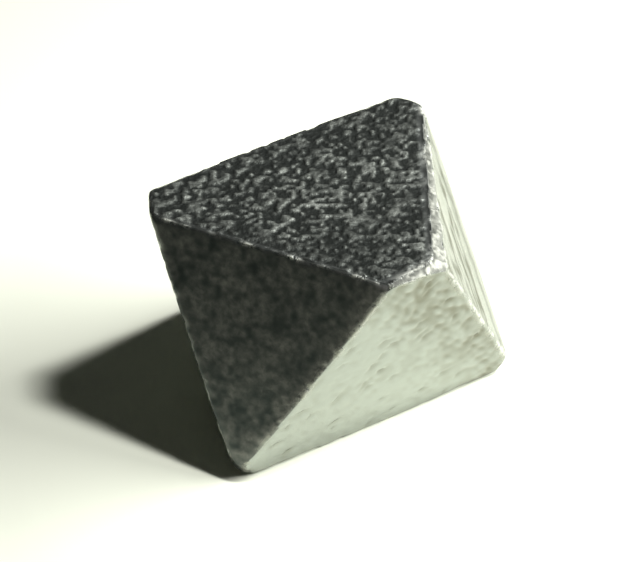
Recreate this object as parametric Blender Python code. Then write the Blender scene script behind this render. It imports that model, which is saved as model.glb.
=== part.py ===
"""One natural crystal: an octahedron lying on a face, with rounded edges, worn tips, a chipped ridge,
a rough top, pits and fine ribs. Run it with blender --background --python part.py. Metres, +Z is up."""

import itertools
import math

import bmesh
import bpy
import numpy as np
from mathutils import Matrix, Vector

MM = 0.001
NAME = "crystal"

# The crystal's own three axes run through its six tips. Each plane below looks along a direction in
# those axes and lies so many millimetres from the crystal's middle. Skin says how its surface grew.
FACES = {
    "top": ((-1, 1, 1), 2.91, "rough"),
    "front_left": ((-0.955, -1, 0.961), 3.66, "smooth"),
    "front_right": ((0.985, -0.955, 1), 3.14, "pitted"),
    "right": ((0.992, 1, 0.992), 3.59, "ribbed"),
    "back": ((-1, 1, -1), 3.40, "pitted"),
    "left": ((-1, -0.963, -0.98), 3.40, "ribbed"),
    "bottom": ((1, -1, -1), 3.25, "flat"),
    "back_right": ((1, 0.957, -0.976), 3.38, "smooth"),
}
TIPS = {
    "low_front_tip": ((0, -1, 0), 5.46, "smooth"),
    "low_back_tip": ((0, 0, -1), 5.50, "smooth"),
}
CHIPS = {
    "front_chip": ((-0.067, 0.497, 1), 4.557, "broken"),
    "front_ridge": ((-0.37, 0.456, 1), 4.322, "broken"),
    "right_ridge": ((-0.077, 0.966, 1), 3.858, "broken"),
}
PLANES = {**FACES, **TIPS, **CHIPS}
SWING = math.radians(33.4)  # turn about the upright axis once the crystal lies on its bottom face
ROUNDING = 130  # the higher this power, the sharper the edges
TIP_ROUNDING = 50  # the power at the tips, which are worn rounder
TIP_START, TIP_END = 0.92, 0.985  # the cosines to a tip's axis between which one power becomes the other
EDGE_BAND = 0.12 * MM  # width of the mesh band on each side of an edge, which the rounding bends
BLANK = 20 * MM  # the block that the crystal is cut from

# The longest mesh edge allowed on each skin, and near the middle of a pit, in millimetres
MESH_SIZE = {"rough": 0.36, "pitted": 0.56, "ribbed": 0.46, "smooth": 0.80, "flat": 2.00, "broken": 0.28}
PIT_MESH_SIZE = 0.19
SAME_LENGTH = 1e-4  # edges this nearly alike count as equally long
STRAIGHT = math.radians(0.5)  # edges flatter than this lie inside a face
CRUMB = 0.05 * MM  # points closer than this are made one before the mesh is refined

# Relief, in millimetres: how high or deep, and how far across
EDGE_FADE = 0.30  # relief rises from nothing at an edge to its full height this far in
GRAIN_HEIGHT = 0.035
GRAIN_SIZE = 0.34
LEDGE_HEIGHT = 0.020
LEDGE_WIDTH = 0.95
LEDGE_BEND, LEDGE_BEND_SIZE = 0.8, 1.6  # how many ledge widths the ledges wander, and over what length
WAVE_HEIGHT = 0.012
WAVE_SIZE = 1.3
RIB_HEIGHT = 0.022
RIB_WIDTH = 0.42
RIB_LENGTH = 3.2
CHIP_HEIGHT = 0.030
CHIP_SIZE = 0.30
PIT_COUNT = 60
PIT_DEPTH = 0.030
PIT_LENGTH = 0.19
PIT_WIDTH = 0.080
PIT_SLANT = math.radians(38)
PIT_TURN = 0.5  # radians either way from the slant
SMALLEST_PIT, PIT_GROWTH = 0.75, 0.45  # the smallest pit's share of the full size, and the largest's surplus
STEEP_FLANK = 0.6  # how much steeper one flank of a pit is
PIT_REACH = 4.2  # pits are scattered over a square this far each way from the middle of the face


def turn_to_lie():
    """The turn that puts the bottom face down and one tip towards -Y, then swings the crystal."""
    up = Vector(FACES["top"][0]).normalized()
    tip = Vector((0, 0, 1))
    back = (up * tip.dot(up) - tip).normalized()
    return Matrix.Rotation(SWING, 3, "Z") @ Matrix((back.cross(up), back, up))


def outward(name):
    """A plane's outward direction once the crystal lies down."""
    return turn_to_lie() @ Vector(PLANES[name][0]).normalized()


def cut(mesh, name):
    """Takes off what stands outside one plane and closes the cut with a flat face."""
    normal = outward(name)
    bmesh.ops.bisect_plane(
        mesh,
        geom=mesh.verts[:] + mesh.edges[:] + mesh.faces[:],
        plane_co=normal * PLANES[name][1] * MM,
        plane_no=normal,
        clear_outer=True,
    )
    bmesh.ops.holes_fill(mesh, edges=[edge for edge in mesh.edges if edge.is_boundary], sides=0)


def faceted_block():
    """A block cut down to the faces and worn tips, banded along each edge, and chipped on its ridges."""
    mesh = bmesh.new()
    bmesh.ops.create_cube(mesh, size=BLANK)
    for name in (*FACES, *TIPS):
        cut(mesh, name)
    bmesh.ops.inset_individual(mesh, faces=mesh.faces[:], thickness=EDGE_BAND, use_even_offset=True)
    for name in CHIPS:
        cut(mesh, name)
    return mesh


def ease(values, low, high):
    """0 below low, 1 above high, and smoothly between."""
    part = np.clip((values - low) / (high - low), 0, 1)
    return part * part * (3 - 2 * part)


def rounded(points):
    """Draws edges and tips in, to where the high-power sum of a point's reach towards each plane is 1."""
    unbroken = (*FACES, *TIPS)
    normals = np.array([outward(name) for name in unbroken])
    distances = np.array([PLANES[name][1] for name in unbroken]) * MM
    lean = np.abs(points @ np.array(turn_to_lie())).max(axis=1) / np.linalg.norm(points, axis=1)
    power = ROUNDING + (TIP_ROUNDING - ROUNDING) * ease(lean, TIP_START, TIP_END)
    towards = np.clip(points @ normals.T / distances, 0, None)
    level = (towards ** power[:, None]).sum(axis=1) ** (1 / power)
    return points / np.maximum(level, 1)[:, None]


def gaps_inside(points):
    """How far each point lies inside each plane, in millimetres: a row for a point."""
    normals = np.array([outward(name) for name in PLANES])
    distances = np.array([distance for _, distance, _ in PLANES.values()])
    return distances - points @ normals.T / MM


def face_axes(name):
    """Two directions in a face: along the edge between two of its tips, and across that edge."""
    looks = PLANES[name][0]
    normal = outward(name)
    across = normal.cross(turn_to_lie() @ Vector((looks[0], -looks[1], 0))).normalized()
    return np.array(across.cross(normal)), np.array(across)


def pit_centres():
    """Pits strewn by chance: the fraction of a large multiple of a sine."""
    chance = np.sin(np.outer(np.arange(1, PIT_COUNT + 1), (12.9898, 78.233))) * 43758.5453 % 1
    return PIT_REACH * (2 * chance - 1)


def pit_offsets(points, name):
    """Each point's distance from each pit, in pit lengths along it and pit widths across it."""
    along, across = face_axes(name)
    flat = np.stack([points @ along, points @ across], axis=-1) / MM
    apart = flat[:, None, :] - pit_centres()[None]
    turn = PIT_SLANT + PIT_TURN * np.sin(5 * np.arange(PIT_COUNT))
    grown = SMALLEST_PIT + PIT_GROWTH * np.sin(3 * np.arange(PIT_COUNT)) ** 2
    length = (apart[..., 0] * np.cos(turn) + apart[..., 1] * np.sin(turn)) / (PIT_LENGTH * grown)
    width = (apart[..., 1] * np.cos(turn) - apart[..., 0] * np.sin(turn)) / (PIT_WIDTH * grown)
    return length, width


def lumps(points, size, seed):
    """Smooth random heights from -1 to 1: a chance value at each knot of a lattice, blended between."""
    cell = points / (size * MM)
    base = np.floor(cell)
    part = (cell - base) ** 2 * (3 - 2 * (cell - base))
    total = np.zeros(len(points))
    for corner in itertools.product((0, 1), repeat=3):
        chance = np.sin((base + corner) @ (12.9898, 78.233, 37.719) + seed) * 43758.5453
        weight = np.prod(np.where(corner, part, 1 - part), axis=1)
        total += weight * (2 * (chance % 1) - 1)
    return total


def rough_relief(points, name):
    """Grains a third of a millimetre apart on low ledges that run along the back edge."""
    _, across = face_axes(name)
    bent = points @ across / MM / LEDGE_WIDTH + LEDGE_BEND * lumps(points, LEDGE_BEND_SIZE, 3)
    ledge = np.abs(bent % 1 - 0.5) * 2
    return GRAIN_HEIGHT * lumps(points, GRAIN_SIZE, 1) - LEDGE_HEIGHT * ledge**3


def pitted_relief(points, name):
    """Lens-shaped pits, one flank steeper than the other, on a gently uneven face."""
    length, width = pit_offsets(points, name)
    bowl = np.exp(-(length**2) - width**2 * (1 + STEEP_FLANK * np.tanh(2 * width)))
    return WAVE_HEIGHT * lumps(points, WAVE_SIZE, 2) - PIT_DEPTH * bowl.max(axis=1)


def ribbed_relief(points, name):
    """Long fine ribs that run along the face."""
    along, across = face_axes(name)
    squeezed = np.outer(points @ across, across) + np.outer(points @ along, along) * RIB_WIDTH / RIB_LENGTH
    return RIB_HEIGHT * lumps(squeezed, RIB_WIDTH, 4)


def smooth_relief(points, _name):
    """A shallow swell."""
    return WAVE_HEIGHT * lumps(points, WAVE_SIZE, 5)


def broken_relief(points, _name):
    """The uneven break of a chip."""
    return CHIP_HEIGHT * (lumps(points, CHIP_SIZE, 6) - 0.5)


def flat_relief(points, _name):
    """Nothing: the crystal rests here."""
    return np.zeros(len(points))


RELIEF = {
    "rough": rough_relief,
    "pitted": pitted_relief,
    "ribbed": ribbed_relief,
    "smooth": smooth_relief,
    "broken": broken_relief,
    "flat": flat_relief,
}


def longest_allowed(points):
    """The longest mesh edge allowed at each point: short near pits and on rough skins."""
    nearest = gaps_inside(points).argmin(axis=1)
    allowed = np.zeros(len(points))
    for index, (name, (_, _, skin)) in enumerate(PLANES.items()):
        here = nearest == index
        allowed[here] = MESH_SIZE[skin]
        if skin == "pitted" and here.any():
            length, width = pit_offsets(points[here], name)
            near = np.exp(-0.5 * (length**2 + width**2)).max(axis=1)
            allowed[here] += (PIT_MESH_SIZE - MESH_SIZE[skin]) * near
    return allowed * MM


def edge_to_halve(face):
    """Steps from triangle to triangle over the longest edge, up to one that is the longest on both sides."""
    edge = max(face.edges, key=lambda side: side.calc_length())
    while True:
        face = edge.link_faces[0] if edge.link_faces[1] is face else edge.link_faces[1]
        longest = max(face.edges, key=lambda side: side.calc_length())
        if longest.calc_length() <= edge.calc_length() * (1 + SAME_LENGTH):
            return edge
        edge = longest


def even_out(mesh):
    """Turns the edges that lie inside flat faces where that makes the triangles less thin."""
    inner = [edge for edge in mesh.edges if edge.calc_face_angle() < STRAIGHT]
    bmesh.ops.beautify_fill(mesh, faces=mesh.faces[:], edges=inner, method="ANGLE")


def refine(mesh):
    """Halves long edges, one in a triangle at a time, until none is too long for its place."""
    bmesh.ops.remove_doubles(mesh, verts=mesh.verts[:], dist=CRUMB)
    bmesh.ops.triangulate(mesh, faces=mesh.faces[:])
    even_out(mesh)
    while True:
        edges = mesh.edges[:]
        ends = np.array([[end.co for end in edge.verts] for edge in edges])
        lengths = np.linalg.norm(ends[:, 0] - ends[:, 1], axis=1)
        too_long = lengths > longest_allowed(ends.mean(axis=1))
        if not too_long.any():
            return
        chosen = set()
        taken = set()
        for edge in itertools.compress(edges, too_long):
            for face in edge.link_faces:
                halved = edge_to_halve(face)
                if taken.isdisjoint(halved.link_faces):
                    taken.update(halved.link_faces)
                    chosen.add(halved)
        bmesh.ops.subdivide_edges(mesh, edges=list(chosen), cuts=1, use_single_edge=True)


def raise_relief(mesh):
    """Rounds the edges, and moves the points inside each face in or out by its skin's relief."""
    points = np.array([vert.co for vert in mesh.verts])
    gaps = gaps_inside(points)
    points = rounded(points)
    nearest = gaps.argmin(axis=1)
    edge_gap = np.sort(gaps, axis=1)[:, 1]
    rise = ease(edge_gap, 0, EDGE_FADE)
    for index, (name, (_, _, skin)) in enumerate(PLANES.items()):
        here = nearest == index
        height = RELIEF[skin](points[here], name) * rise[here] * MM
        points[here] += np.outer(height, outward(name))
    for vert, place in zip(mesh.verts, points):
        vert.co = place


def set_down(mesh):
    """Puts the middle of the crystal's base box at the origin."""
    points = np.array([vert.co for vert in mesh.verts])
    low, high = points.min(axis=0), points.max(axis=0)
    middle = (low + high) / 2
    bmesh.ops.translate(mesh, verts=mesh.verts[:], vec=(-middle[0], -middle[1], -low[2]))


def mineral():
    """Nearly black, with a bright glassy to metallic shine."""
    material = bpy.data.materials.new("dark_mineral")
    material.use_nodes = True
    shader = material.node_tree.nodes["Principled BSDF"]
    shader.inputs["Base Color"].default_value = (0.22, 0.23, 0.21, 1)
    shader.inputs["Roughness"].default_value = 0.25
    shader.inputs["Metallic"].default_value = 0.85
    return material


def main():
    for old in list(bpy.data.objects):
        bpy.data.objects.remove(old)
    mesh = faceted_block()
    refine(mesh)
    raise_relief(mesh)
    set_down(mesh)
    bmesh.ops.recalc_face_normals(mesh, faces=mesh.faces[:])
    data = bpy.data.meshes.new(NAME)
    mesh.to_mesh(data)
    mesh.free()
    data.materials.append(mineral())
    crystal = bpy.data.objects.new(NAME, data)
    group = bpy.data.collections.new("octahedral_crystal")
    bpy.context.scene.collection.children.link(group)
    group.objects.link(crystal)


main()
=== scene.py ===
# A dark octahedral crystal that lies on one face, on a pale floor beside a small bright light.
import itertools
import math

import bpy
import numpy as np
from mathutils import Matrix


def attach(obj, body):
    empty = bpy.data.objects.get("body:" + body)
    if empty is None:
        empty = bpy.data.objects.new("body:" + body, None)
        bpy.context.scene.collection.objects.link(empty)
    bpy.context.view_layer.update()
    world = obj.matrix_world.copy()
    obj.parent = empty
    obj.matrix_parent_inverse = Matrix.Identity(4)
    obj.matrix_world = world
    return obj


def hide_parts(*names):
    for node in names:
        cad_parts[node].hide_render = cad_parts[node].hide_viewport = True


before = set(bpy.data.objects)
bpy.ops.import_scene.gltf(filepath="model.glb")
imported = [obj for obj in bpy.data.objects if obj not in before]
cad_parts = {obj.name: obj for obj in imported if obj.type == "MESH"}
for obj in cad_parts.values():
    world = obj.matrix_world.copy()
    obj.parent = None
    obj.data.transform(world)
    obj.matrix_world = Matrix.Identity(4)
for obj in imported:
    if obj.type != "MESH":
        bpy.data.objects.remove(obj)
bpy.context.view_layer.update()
print("frame loaded:", sorted(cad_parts))

mm = 0.001


# The crystal's own three axes run through its six tips. Each plane: the way it looks in those axes, and
# how far it lies from the crystal's middle in millimetres.
crystalForm = {
    "top": ((-1, 1, 1), 2.91),
    "frontLeft": ((-0.955, -1, 0.961), 3.66),
    "frontRight": ((0.985, -0.955, 1), 3.14),
    "right": ((0.992, 1, 0.992), 3.59),
    "back": ((-1, 1, -1), 3.40),
    "left": ((-1, -0.963, -0.98), 3.40),
    "bottom": ((1, -1, -1), 3.25),
    "backRight": ((1, 0.957, -0.976), 3.38),
    "lowFrontTip": ((0, -1, 0), 5.46),
    "lowBackTip": ((0, 0, -1), 5.50),
}
chipForm = {
    "frontChip": ((-0.067, 0.497, 1), 4.557),
    "frontRidge": ((-0.37, 0.456, 1), 4.322),
    "rightRidge": ((-0.077, 0.966, 1), 3.858),
}
skins = {
    "top": "rough",
    "frontRight": "pitted",
    "back": "dullPitted",
    "right": "ribbed",
    "left": "ribbed",
    "bottom": "flat",
    "frontChip": "broken",
    "frontRidge": "broken",
    "rightRidge": "broken",
}
# how worn the edges between two planes are, and how much painted glint they carry:
# the one's number times the other's
wearAndGlintPlanes = {
    "right": 1.0,
    "top": 0.4,
    "frontRight": 1.0,
    "frontLeft": 0.6,
    "frontChip": 0.7,
    "frontRidge": 0.7,
    "rightRidge": 0.7,
}
wearAndGlintElsewhere = 0.2
chipPale = {"frontChip": 1.0, "frontRidge": 0.70, "rightRidge": 0.34}  # how freshly broken each chip looks
crystalBuild = {
    "swing": math.radians(33.4),  # turn about the upright axis as it lies
    "rounding": 130,  # the higher, the sharper the edges
    "tipRounding": 50,  # the same at the tips
    "tipStart": (0.92, 0.985),  # how far along its own axis a direction leans where the tips begin
    "chipSharpness": 400,
    "cells": 312,  # grid cells across the unfolded surface
    "sameDigits": 6,  # unfolded points that agree to so many digits are one
}

# The faces' relief, with heights and widths in millimetres, and their tone, which is how much of a face's
# second colour shows, from 0 to 1. These are the chance patterns in them: how broad their lumps are, and
# the number that starts their draw.
patterns = {
    "grains": (0.34, 1),
    "plates": (0.120, 7),
    "plateShades": (0.27, 17),
    "patchShades": (0.75, 244),
    "ledgeBends": (1.6, 3),
    "frontShade": (1.0, 21),
    "rightShade": (0.9, 25),
    "ripples": (0.15, 12),
    "pittedWave": (1.3, 2),
    "restless": (1.1, 13),
    "ribs": (0.42, 4),
    "fineRibs": (0.168, 9),
    "ribJags": (0.30, 22),
    "ribPatches": (0.40, 23),
    "dullWave": (1.3, 5),
    "dullPatches": (0.60, 14),
    "dullSpecks": (0.16, 15),
    "dullRim": (0.16, 26),
    "breaks": (0.22, 6),
    "fineBreaks": (0.088, 16),
    "raggedRims": (0.16, 18),
    "wornPatches": (0.4, 19),
    "nicks": (0.22, 24),
}
scatter = {"turns": (12.9898, 78.233, 37.719), "spread": 43758.5453}


def unit(vectors):
    # each vector divided by its own length
    return vectors / np.linalg.norm(vectors, axis=-1, keepdims=True)


def lyingTurn():
    # rows: rightwards, backwards and up in the crystal's axes, then swung about the upright axis
    up = unit(np.array(crystalForm["top"][0], float))
    tip = np.array((0.0, 0.0, 1.0))
    back = unit(up * (tip @ up) - tip)
    c, s = math.cos(crystalBuild["swing"]), math.sin(crystalBuild["swing"])
    return np.array(((c, -s, 0), (s, c, 0), (0, 0, 1))) @ np.array((np.cross(back, up), back, up))


def outwards(form):
    return unit(np.array([looks for looks, _ in form.values()], float)) @ lyingTurn().T


def distances(form):
    return np.array([out for _, out in form.values()])


def faceAxes(name):
    # along the edge between two of the face's tips, and across it
    looks = ({**crystalForm, **chipForm})[name][0]
    normal = outwards({name: (looks, 0)})[0]
    across = unit(np.cross(normal, lyingTurn() @ (looks[0], -looks[1], 0)))
    return np.cross(across, normal), across


def gapsTo(points, *names):
    # how far inside each of these planes the points lie
    return [crystalForm[name][1] - points @ outwards({name: crystalForm[name]})[0] for name in names]


def chances(angles):
    # a number from 0 to 1 for each angle, in no order that can be seen
    return np.sin(angles) * scatter["spread"] % 1


def lumps(points, pattern):
    # a chance height from -1 to 1 at each knot of a lattice, blended smoothly between the knots
    size, seed = patterns[pattern]
    cell = points / size
    base = np.floor(cell)
    part = (cell - base) ** 2 * (3 - 2 * (cell - base))
    total = np.zeros(len(points))
    for corner in itertools.product((0, 1), repeat=3):
        chance = chances((base + corner) @ scatter["turns"] + seed)
        weight = np.prod(np.where(corner, part, 1 - part), axis=1)
        total += weight * (2 * chance - 1)
    return total


def strayed(points, pattern, middle, swing):
    # a value that strays from its middle by at most its swing
    return middle + swing * lumps(points, pattern)


def ease(values, low, high):
    # 0 below low, 1 above high, and smoothly between
    part = np.clip((values - low) / (high - low), 0, 1)
    return part * part * (3 - 2 * part)


grainForm = {
    "grainHeight": 0.016,
    "plateHeight": 0.020,
    "plateLift": 0.2,  # how much the broad grains raise the plates on them
    "plateRise": (-0.20, 0.42),
    "plateTone": (0.7, 0.3),
    "patchTone": (0.76, 0.38),
    "ledgeHeight": 0.012,
    "ledgeWidth": 0.95,
    "ledgeBend": 0.8,
    "paintedLedgeShade": 0.55,
    "darkBend": 0.8,
    "frontDark": 0.5,
    "frontReach": (0.9, 2.4),
    "frontSide": (-2.6, -1.2),
    "rightDark": 0.2,
    "rightWay": (1, 0.7, 0),
    "rightReach": (-2.5, 0.5),
    "backDark": 0.3,
    "backReach": (1.0, 3.0),
}


def roughRelief(points, name):
    # flat-topped plates, ease(chance heights), on broad grains, minus low ledges:
    # ledge = (distance from the middle of a band)^3;
    # the colour is darkened along the ledges, as painted shade in their grooves
    across = faceAxes(name)[1]
    bent = points @ across / grainForm["ledgeWidth"] + grainForm["ledgeBend"] * lumps(points, "ledgeBends")
    ledge = (np.abs(bent % 1 - 0.5) * 2) ** 3
    broad = lumps(points, "grains")
    plates = ease(lumps(points, "plates") + grainForm["plateLift"] * broad, *grainForm["plateRise"])
    height = grainForm["grainHeight"] * broad + grainForm["plateHeight"] * (2 * plates - 1)
    # the plates' paleness is partly the grains' own colour and partly painted glints on the raised plates
    shade = plates * strayed(points, "plateShades", *grainForm["plateTone"])
    shade = np.clip(shade * strayed(points, "patchShades", *grainForm["patchTone"]), 0, 1)
    # darker at the front left, and again towards the right and the back
    frontwards = -points[:, 1] + grainForm["darkBend"] * lumps(points, "frontShade")
    darkFront = ease(frontwards, *grainForm["frontReach"]) * ease(-points[:, 0], *grainForm["frontSide"])
    rightwards = points @ grainForm["rightWay"] + grainForm["darkBend"] * lumps(points, "rightShade")
    darkBack = grainForm["rightDark"] * ease(rightwards, *grainForm["rightReach"])
    darkBack += grainForm["backDark"] * ease(points[:, 1], *grainForm["backReach"])
    shade = shade * (1 - grainForm["frontDark"] * darkFront) * (1 - darkBack)
    # painted shade: the plates' paleness is dimmed along the sunk ledges
    return height - grainForm["ledgeHeight"] * ledge, shade * (1 - grainForm["paintedLedgeShade"] * ledge)


pitForm = {
    "count": 60,
    "reach": 4.2,
    "depth": 0.030,
    "length": 0.19,
    "width": 0.080,
    "slant": math.radians(38),
    "slantSwing": 0.5,
    "slantStep": 5,
    "growth": (0.75, 0.45),
    "growthStep": 3,
    "steepness": 0.6,  # how much steeper the one flank is
    "flankTurn": 2,  # how soon the one flank becomes the other
    "waveHeight": 0.012,
    "rippleHeight": 0.025,
    "rippleLength": 0.27,
    "rippleSlant": math.radians(-50),
    "calmRipple": (0.4, 0.6),
    "restlessWay": (1, 0, 0.6),
    "restlessBend": 1.2,
    "restlessReach": (0.9, 3.0),
    "bowlTone": 0.40,
    "rippleTone": 0.55,
    "restlessTone": 0.48,
}


def pittedRelief(points, name):
    # bowls exp(-a^2 - b^2) with a along and b across each slanted pit, one flank steeper, among
    # ripples that run crosswise
    along, across = faceAxes(name)
    count = np.arange(pitForm["count"])
    centres = pitForm["reach"] * (2 * chances(np.outer(count + 1, scatter["turns"][:2])) - 1)
    turn = pitForm["slant"] + pitForm["slantSwing"] * np.sin(pitForm["slantStep"] * count)
    least, growth = pitForm["growth"]
    grown = least + growth * np.sin(pitForm["growthStep"] * count) ** 2
    apart = np.stack([points @ along, points @ across], axis=-1)[:, None, :] - centres[None]
    length = (apart[..., 0] * np.cos(turn) + apart[..., 1] * np.sin(turn)) / (pitForm["length"] * grown)
    width = (apart[..., 1] * np.cos(turn) - apart[..., 0] * np.sin(turn)) / (pitForm["width"] * grown)
    flank = 1 + pitForm["steepness"] * np.tanh(pitForm["flankTurn"] * width)
    bowl = np.exp(-(length**2) - width**2 * flank).max(axis=1)
    slant = pitForm["rippleSlant"]
    lengthways = along * math.cos(slant) + across * math.sin(slant)
    squeeze = patterns["ripples"][0] / pitForm["rippleLength"]
    squeezed = points - np.outer(points @ lengthways, lengthways) * (1 - squeeze)
    # the face is calm low at its left and uneven high at its right
    upRight = points @ pitForm["restlessWay"] + pitForm["restlessBend"] * lumps(points, "restless")
    uneven = ease(upRight, *pitForm["restlessReach"])
    calm, restless = pitForm["calmRipple"]
    ripple = lumps(squeezed, "ripples") * (calm + restless * uneven)
    wave = pitForm["waveHeight"] * lumps(points, "pittedWave")
    height = wave + pitForm["rippleHeight"] * ripple - pitForm["depth"] * bowl
    # on the front right this tone is partly painted shade: more of the darker stained colour in the pits
    # and in the ripples' hollows, and more where the face is uneven; on the back face it makes the pits
    # paler
    tone = pitForm["bowlTone"] * bowl - pitForm["rippleTone"] * ripple + pitForm["restlessTone"] * uneven
    return height, np.clip(tone, 0, 1)


ribForm = {
    "height": 0.022,
    "length": 3.2,
    "fineShare": 0.35,
    "jag": 0.15,
    "streakShares": (0.7, 0.6, 0.5),  # of the broad ribs, the fine ones and the patches
    "streakRise": (-0.35, 0.55),
    "rimReach": (-1.9, -1.2),
}


def ribbedRelief(points, name):
    # chance heights stretched along the face, so they run as ribs
    along, across = faceAxes(name)
    squeeze = patterns["ribs"][0] / ribForm["length"]
    jagged = points @ across + ribForm["jag"] * lumps(points, "ribJags")
    squeezed = np.outer(jagged, across) + np.outer(points @ along, along) * squeeze
    broad = lumps(squeezed, "ribs")
    fine = lumps(squeezed, "fineRibs")
    broadShare, fineShare, patchShare = ribForm["streakShares"]
    mixed = broadShare * broad + fineShare * fine + patchShare * lumps(points, "ribPatches")
    # pale along the outer rim
    streaks = ease(mixed, *ribForm["streakRise"]) * ease(-jagged, *ribForm["rimReach"])
    return ribForm["height"] * (broad + ribForm["fineShare"] * fine), streaks


dullForm = {
    "waveHeight": 0.012,
    "patchTone": (0.35, 0.20),
    "speckTone": 0.45,
    "highTone": 0.12,
    "highReach": (-1.5, 1.5),
    "rightTone": 0.20,
    "rightWay": (1, 0, 0.5),
    "rightReach": (0.6, 2.6),
    "rimTone": 0.5,
    "rimBend": 0.15,
    "rimReach": (-0.45, 0),
}


def smoothRelief(points, name):
    wave = lumps(points, "dullWave")
    spots = strayed(points, "dullPatches", *dullForm["patchTone"])
    spots += dullForm["speckTone"] * lumps(points, "dullSpecks")
    # paler high up, and most at the right
    high = dullForm["highTone"] * ease(points[:, 2], *dullForm["highReach"])
    spots += high + dullForm["rightTone"] * ease(points @ dullForm["rightWay"], *dullForm["rightReach"])
    # and beside the front right face
    beside = dullForm["rimBend"] * lumps(points, "dullRim") - gapsTo(points, "frontRight")[0]
    spots += dullForm["rimTone"] * ease(beside, *dullForm["rimReach"])
    return dullForm["waveHeight"] * wave, np.clip(spots, 0, 1)


def dullPittedRelief(points, name):
    # pits in the front left's dull mineral
    height, pale = pittedRelief(points, name)
    return height, np.clip(smoothRelief(points, name)[1] + pale, 0, 1)


breakForm = {
    "height": 0.035,
    "fineShare": 0.5,
    "sunk": 0.5,
    "bend": 0.05,
    "topReach": (0.0, 0.08),
    "sideReach": (0.06, 0.16),
    "sideTone": (0.35, 0.65),
    "fineTone": (0.75, 0.25),
    "grainTone": 0.30,
    "grainShare": 0.5,
    "grainRise": (0.1, 0.7),
}


def brokenRelief(points, name):
    chip = lumps(points, "breaks")
    fine = lumps(points, "fineBreaks")
    # a break is dark where it runs out into the top, and duller where it runs out into the front right
    top, side = (gap + breakForm["bend"] * fine for gap in gapsTo(points, "top", "frontRight"))
    dulled, clear = breakForm["sideTone"]
    fresh = ease(top, *breakForm["topReach"]) * (dulled + clear * ease(side, *breakForm["sideReach"]))
    middle, swing = breakForm["fineTone"]
    grains = breakForm["grainTone"] * ease(breakForm["grainShare"] * chip + fine, *breakForm["grainRise"])
    pale = chipPale[name] * (middle + swing * fine) * fresh + grains
    height = breakForm["height"] * (chip + breakForm["fineShare"] * fine - breakForm["sunk"])
    return height, np.clip(pale, 0, 1)


def flatRelief(points, name):
    return np.zeros(len(points)), np.zeros(len(points))


reliefOf = {
    "rough": roughRelief,
    "pitted": pittedRelief,
    "ribbed": ribbedRelief,
    "smooth": smoothRelief,
    "dullPitted": dullPittedRelief,
    "broken": brokenRelief,
    "flat": flatRelief,
}


def unfoldedDirections(cells):
    # the octahedron's surface unfolded on a square: inside the diamond z = 1 - |s| - |t|,
    # outside it the four corners fold under
    line = np.linspace(-1, 1, cells + 1)
    s, t = np.meshgrid(line, line, indexing="ij")
    z = 1 - np.abs(s) - np.abs(t)
    under = np.maximum(-z, 0)
    x = s - np.where(s >= 0, 1, -1) * under
    y = t - np.where(t >= 0, 1, -1) * under
    return np.stack([x, y, z], axis=-1).reshape(-1, 3)


def unfoldedTriangles(cells):
    # two triangles in a cell, cut along the fold's own direction in each quarter of the square
    i, j = np.meshgrid(np.arange(cells), np.arange(cells), indexing="ij")
    i, j = i.ravel(), j.ravel()
    corner = i * (cells + 1) + j
    a, b, c, d = corner, corner + cells + 1, corner + cells + 2, corner + 1
    sameSign = ((i < cells // 2) == (j < cells // 2))[:, None]
    first = np.where(sameSign, np.stack([a, b, d], -1), np.stack([a, b, c], -1))
    second = np.where(sameSign, np.stack([b, c, d], -1), np.stack([a, c, d], -1))
    return np.concatenate([first, second])


edgeForm = {
    "fade": 0.13,  # how far from an edge a face's relief is whole
    "chipFade": 0.04,  # the same on the chips
    "raggedDepth": 0.030,
    "wearWidth": 0.11,
    "wearGrowth": (0.3, 0.7),
    "wearPatches": (0.1, 0.9),
    "nickDepth": 0.034,
    "nickWidth": 0.08,
    "nickPatches": (0.05, 0.6),
}


def crystalSurface(folded):
    # point = direction / level, with a lower power near the tips:
    # level = (sum over planes of (direction . normal / distance)^power)^(1/power)
    directions = unit(folded @ lyingTurn().T)
    lean = np.abs(unit(folded)).max(axis=1)
    rounding, tipRounding = crystalBuild["rounding"], crystalBuild["tipRounding"]
    power = rounding + (tipRounding - rounding) * ease(lean, *crystalBuild["tipStart"])
    towards = directions @ outwards(crystalForm).T / distances(crystalForm)
    most = towards.max(axis=1)
    share = np.clip(towards / most[:, None], 0, None)
    level = most * (share ** power[:, None]).sum(axis=1) ** (1 / power)
    points = directions / level[:, None]
    # the chips: a point outside a chip's ragged plane is drawn in to it
    sharp = crystalBuild["chipSharpness"]
    ragged = edgeForm["raggedDepth"] * lumps(points, "raggedRims")
    beyond = np.clip(points @ outwards(chipForm).T / (distances(chipForm) + ragged[:, None]), 0, None)
    return points / ((1 + (beyond**sharp).sum(axis=1)) ** (1 / sharp))[:, None]


def nearEdge(gaps, width):
    # 1 at an edge, and almost 0 from twice this width on
    return np.exp(-((gaps / width) ** 2))


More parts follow.
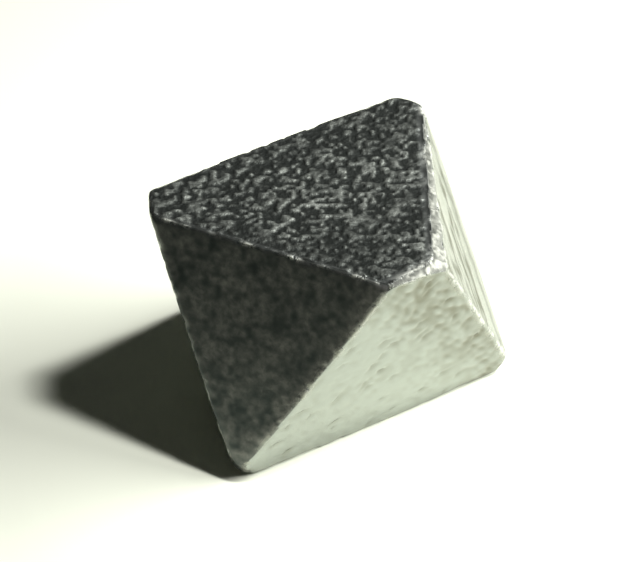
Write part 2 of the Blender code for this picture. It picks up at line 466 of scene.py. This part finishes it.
def reliefHeights(points):
    # each point moves along its own plane's normal, and less the nearer it is to an edge
    planes = {**crystalForm, **chipForm}
    normals = outwards(planes)
    gaps = distances(planes) - points @ normals.T
    order = gaps.argsort(axis=1)[:, :2]
    nearest = order[:, 0]
    second = np.take_along_axis(gaps, order, axis=1) @ (-1, 1)
    wearAndGlint = np.array([wearAndGlintPlanes.get(name, wearAndGlintElsewhere) for name in planes])[order].prod(axis=1)
    marks = {skin + "Skin": np.zeros(len(points)) for skin in reliefOf}
    marks["tone"] = np.zeros(len(points))
    # the pale worn edges are partly real wear and partly painted glints along the edges
    patchy = ease(lumps(points, "wornPatches") + wearAndGlint, *edgeForm["wearPatches"])
    least, growth = edgeForm["wearGrowth"]
    marks["edgeWearAndGlint"] = nearEdge(second, edgeForm["wearWidth"] * (least + growth * wearAndGlint)) * patchy
    # small nicks along the edges
    nicks = ease(lumps(points, "nicks"), *edgeForm["nickPatches"]) * nearEdge(second, edgeForm["nickWidth"])
    moved = points - unit(points) * (edgeForm["nickDepth"] * nicks)[:, None]
    for index, name in enumerate(planes):
        here = nearest == index
        skin = skins.get(name, "smooth")
        fade = edgeForm["chipFade"] if skin == "broken" else edgeForm["fade"]
        rise = ease(second[here], 0, fade)
        height, tone = reliefOf[skin](points[here], name)
        moved[here] += np.outer(height * rise, normals[index])
        marks[skin + "Skin"][here] = 1 if skin in ("broken", "smooth") else rise
        marks["tone"][here] = tone
    return moved, marks


def makeCrystal():
    folded = unfoldedDirections(crystalBuild["cells"])
    points, marks = reliefHeights(crystalSurface(folded))
    # the square's rim meets itself, so points that fall together are made one
    rounded = np.round(folded, crystalBuild["sameDigits"])
    _, first, index = np.unique(rounded, axis=0, return_index=True, return_inverse=True)
    triangles = index.reshape(-1)[unfoldedTriangles(crystalBuild["cells"])]
    ends = np.sort(triangles, axis=1)
    triangles = triangles[(ends[:, 0] != ends[:, 1]) & (ends[:, 1] != ends[:, 2])]
    points = points[first]
    if np.linalg.det(points[triangles]).sum() < 0:
        triangles = triangles[:, ::-1]
    low, high = points.min(axis=0), points.max(axis=0)
    ground = np.array(((low[0] + high[0]) / 2, (low[1] + high[1]) / 2, low[2]))
    mesh = bpy.data.meshes.new("crystalBody")
    mesh.from_pydata(((points - ground) * mm).tolist(), [], triangles.tolist())
    for name, mark in marks.items():
        mesh.attributes.new(name, "FLOAT", "POINT").data.foreach_set("value", mark[first])
    mesh.shade_smooth()
    body = bpy.data.objects.new("crystalBody", mesh)
    bpy.context.scene.collection.objects.link(body)
    print("crystal:", len(mesh.vertices), "points,", len(mesh.polygons), "triangles")
    return body, -ground * mm


crystal, crystalMiddle = makeCrystal()


mineralLook = {
    "clean": (0.366, 0.39, 0.366, 1),  # how much of a straight look-in it mirrors
    "stainedAndShaded": (0.185, 0.184, 0.145, 1),
    "streak": (0.13, 0.135, 0.095, 1),
    "dull": (0.040, 0.052, 0.049, 1),
    "dullSpots": (0.235, 0.235, 0.215, 1),
    "topGrainAndGlint": (0.50, 0.53, 0.475, 1),
    "topDark": (0.034, 0.038, 0.034, 1),
    "bruisedAndGlinting": (0.73, 0.745, 0.65, 1),
    "bruisedDark": (0.095, 0.10, 0.085, 1),
    "edgeTint": (0.82, 0.82, 0.80, 1),
    "metal": 0.97,
    "ribMetal": 0.95,
    "streakMetal": 0.75,
    "dullMetal": 0.60,
    "topMetal": 0.70,
    "brokenMetal": 0.15,
    "roughness": 0.12,
    "ribRoughness": 0.18,
    "streakRoughness": 0.42,
    "dullRoughness": 0.24,
    "topRoughness": 0.55,
    "brokenRoughness": 0.70,
    "grainScale": 7500,  # per metre
    "grainDetail": 3,
    "grainBump": 0.5,
    "bumpDepth": 0.0001,  # in metres
    "calmBump": 0.08,  # share of the bump off the top and the bruises
    "wearAndGlintPaleness": 0.7,
    # where the fine grain starts and ends to count, and for how much there
    "spotGrain": (0.35, 0.65, 0.5, 1.0),
    "topGrainSteps": (0.35, 0.6, 0.4, 1.0),
    "wornGrain": (0.34, 0.5, 0.0, 1.0),
    "bruiseGrain": (0.30, 0.5, 0.5, 1.0),
}


def mineralMaterial():
    material = bpy.data.materials.new("darkMineral")
    material.use_nodes = True
    nodes, links = material.node_tree.nodes, material.node_tree.links
    shader = nodes["Principled BSDF"]
    shader.inputs["Specular Tint"].default_value = mineralLook["edgeTint"]

    def mark(name):
        node = nodes.new("ShaderNodeAttribute")
        node.attribute_name = name
        return node.outputs["Fac"]

    def calculate(operation, first, second):
        node = nodes.new("ShaderNodeMath")
        node.operation = operation
        node.use_clamp = True
        for socket, value in zip(node.inputs, (first, second)):
            if isinstance(value, (int, float)):
                socket.default_value = value
            else:
                links.new(value, socket)
        return node.outputs["Value"]

    def slide(factor, first, second):
        node = nodes.new("ShaderNodeMix")
        for socket, value in zip(node.inputs, (factor, None, first, second)):
            if isinstance(value, float):
                socket.default_value = value
            elif value is not None:
                links.new(value, socket)
        return node.outputs[0]

    def blend(factor, first, second):
        node = nodes.new("ShaderNodeMix")
        node.data_type = "RGBA"
        for name, value in (("Factor", factor), ("A", first), ("B", second)):
            sockets = [s for s in node.inputs if s.name == name and s.enabled]
            if isinstance(value, (tuple, float)):
                sockets[0].default_value = value
            else:
                links.new(value, sockets[0])
        return [s for s in node.outputs if s.enabled][0]

    def noise(scale, detail):
        node = nodes.new("ShaderNodeTexNoise")
        node.inputs["Scale"].default_value = scale
        node.inputs["Detail"].default_value = detail
        links.new(place.outputs["Object"], node.inputs["Vector"])
        return node.outputs["Fac"]

    def ramp(value, low, high, toLow, toHigh):
        node = nodes.new("ShaderNodeMapRange")
        for name, number in (("From Min", low), ("From Max", high), ("To Min", toLow), ("To Max", toHigh)):
            node.inputs[name].default_value = number
        links.new(value, node.inputs["Value"])
        return node.outputs["Result"]

    place = nodes.new("ShaderNodeTexCoord")
    fine = noise(mineralLook["grainScale"], mineralLook["grainDetail"])
    # colour
    tone = mark("tone")
    # the front right's stained colour: partly stain, partly painted shade in its pits and ripple hollows
    stainAndShade = calculate("MULTIPLY", tone, mark("pittedSkin"))
    streak = calculate("MULTIPLY", tone, mark("ribbedSkin"))
    dull = calculate("ADD", mark("smoothSkin"), mark("dullPittedSkin"))
    dullSpots = calculate("MULTIPLY", tone, ramp(fine, *mineralLook["spotGrain"]))
    # pale flecks on the top: partly the grains' colour, partly painted glints
    topGrainsAndGlints = calculate("MULTIPLY", tone, ramp(fine, *mineralLook["topGrainSteps"]))
    # pale edges: partly worn and bruised mineral, partly painted glints
    wearAndGlint = calculate("MULTIPLY", mark("edgeWearAndGlint"), ramp(fine, *mineralLook["wornGrain"]))
    bruisedAndGlinting = calculate("MAXIMUM", mark("brokenSkin"), wearAndGlint)
    paleness = slide(mark("brokenSkin"), mineralLook["wearAndGlintPaleness"], tone)
    bruises = calculate("MULTIPLY", ramp(fine, *mineralLook["bruiseGrain"]), paleness)
    color = blend(stainAndShade, mineralLook["clean"], mineralLook["stainedAndShaded"])
    color = blend(streak, color, mineralLook["streak"])
    color = blend(dull, color, blend(dullSpots, mineralLook["dull"], mineralLook["dullSpots"]))
    onTop = mark("roughSkin")
    color = blend(onTop, color, blend(topGrainsAndGlints, mineralLook["topDark"], mineralLook["topGrainAndGlint"]))
    color = blend(bruisedAndGlinting, color, blend(bruises, mineralLook["bruisedDark"], mineralLook["bruisedAndGlinting"]))
    links.new(color, shader.inputs["Base Color"])

    def skinValue(kind):
        # a plain value, each skin's own where it lies, and the broken one over all
        value = mineralLook[kind.lower()]
        own = {
            "rib": mark("ribbedSkin"),
            "streak": streak,
            "dull": dull,
            "top": mark("roughSkin"),
            "broken": bruisedAndGlinting,
        }
        for skin, where in own.items():
            value = slide(where, value, mineralLook[skin + kind])
        return value

    links.new(skinValue("Metal"), shader.inputs["Metallic"])
    links.new(skinValue("Roughness"), shader.inputs["Roughness"])
    # fine relief
    amount = ramp(calculate("MAXIMUM", mark("roughSkin"), bruisedAndGlinting), 0, 1, mineralLook["calmBump"], 1.0)
    bump = nodes.new("ShaderNodeBump")
    bump.inputs["Strength"].default_value = mineralLook["grainBump"]
    bump.inputs["Distance"].default_value = mineralLook["bumpDepth"]
    links.new(calculate("MULTIPLY", fine, amount), bump.inputs["Height"])
    links.new(bump.outputs["Normal"], shader.inputs["Normal"])
    return material


crystal.data.materials.append(mineralMaterial())
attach(crystal, "root")
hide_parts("crystal")
print("mineral laid on")


stageLook = {
    "floorRadius": 0.9,
    "floorColor": (0.86, 0.885, 0.75, 1),
    "floorRoughness": 0.9,
    "floorGloss": 0.1,
    "room": (0.024, 0.025, 0.023, 1),
    "lightsFar": 0.40,
    "poolMiddle": (20 * mm, 5 * mm, 0),
}
# rows of round lights: a small high one and a broad low window. Each row's ends are an azimuth from +X
# towards +Y and a height, in degrees.
lightRows = {
    "key": {"ends": ((-3, 60.5), (-3, 66.5)), "count": 4, "radius": 0.021, "pool": 0.048, "watts": 1.97},
    "window": {"ends": ((-10, 30), (20, 30)), "count": 6, "radius": 0.028, "pool": 0.038, "watts": 2.6},
}


def makeFloor():
    mesh = bpy.data.meshes.new("floor")
    r = stageLook["floorRadius"]
    mesh.from_pydata([(-r, -r, 0), (r, -r, 0), (r, r, 0), (-r, r, 0)], [], [(0, 1, 2, 3)])
    floor = bpy.data.objects.new("floor", mesh)
    bpy.context.scene.collection.objects.link(floor)
    material = bpy.data.materials.new("paleFloor")
    material.use_nodes = True
    shader = material.node_tree.nodes["Principled BSDF"]
    shader.inputs["Base Color"].default_value = stageLook["floorColor"]
    shader.inputs["Roughness"].default_value = stageLook["floorRoughness"]
    shader.inputs["Specular IOR Level"].default_value = stageLook["floorGloss"]
    mesh.materials.append(material)


def standAt(thing, place, target):
    # turns a light or a camera at place so that it looks at target
    forward = unit(np.array(target, float) - place)
    right = unit(np.cross(forward, (0, 0, 1)))
    turn = np.eye(4)
    turn[:3, :3] = np.stack([right, np.cross(right, forward), -forward], axis=-1)
    turn[:3, 3] = place
    thing.matrix_world = Matrix(turn.tolist())


def makeSpot(name, look, azimuth, height):
    light = bpy.data.lights.new(name, "SPOT")
    light.shadow_soft_size = look["radius"]
    light.spot_size = 2 * math.atan(look["pool"] / stageLook["lightsFar"])
    light.spot_blend = 1
    light.energy = look["watts"]
    lamp = bpy.data.objects.new(name, light)
    bpy.context.scene.collection.objects.link(lamp)
    a, h = math.radians(azimuth), math.radians(height)
    towards = np.array((math.cos(h) * math.cos(a), math.cos(h) * math.sin(a), math.sin(h)))
    standAt(lamp, towards * stageLook["lightsFar"], stageLook["poolMiddle"])


def makeLights():
    for name, row in lightRows.items():
        for index, (azimuth, height) in enumerate(np.linspace(*row["ends"], row["count"])):
            makeSpot(f"{name}Light{index}", row, azimuth, height)
    world = bpy.data.worlds.new("room")
    world.use_nodes = True
    world.node_tree.nodes["Background"].inputs["Color"].default_value = stageLook["room"]
    bpy.context.scene.world = world
    bpy.context.scene.view_settings.view_transform = "Standard"


cameraView = {
    "height": math.radians(36.9),
    "far": 140.5 * mm,
    "lens": 304.5,
    "sideways": -0.10 * mm,  # the view's middle, off the crystal's own
    "upwards": 0.03 * mm,
    "sensor": 36,
    "seenFrom": 0.005,
    "seenTo": 20,
}


def makeCamera():
    h = cameraView["height"]
    forward = np.array((0, math.cos(h), -math.sin(h)))
    right = np.array((1, 0, 0))
    above = np.cross(right, forward)
    target = crystalMiddle + cameraView["sideways"] * right + cameraView["upwards"] * above
    lens = bpy.data.cameras.new("view")
    lens.lens = cameraView["lens"]
    lens.sensor_width = cameraView["sensor"]
    lens.sensor_fit = "HORIZONTAL"
    lens.clip_start = cameraView["seenFrom"]
    lens.clip_end = cameraView["seenTo"]
    camera = bpy.data.objects.new("view", lens)
    bpy.context.scene.collection.objects.link(camera)
    standAt(camera, target - forward * cameraView["far"], target)
    bpy.context.scene.camera = camera


makeFloor()
makeLights()
makeCamera()
print("stage set")
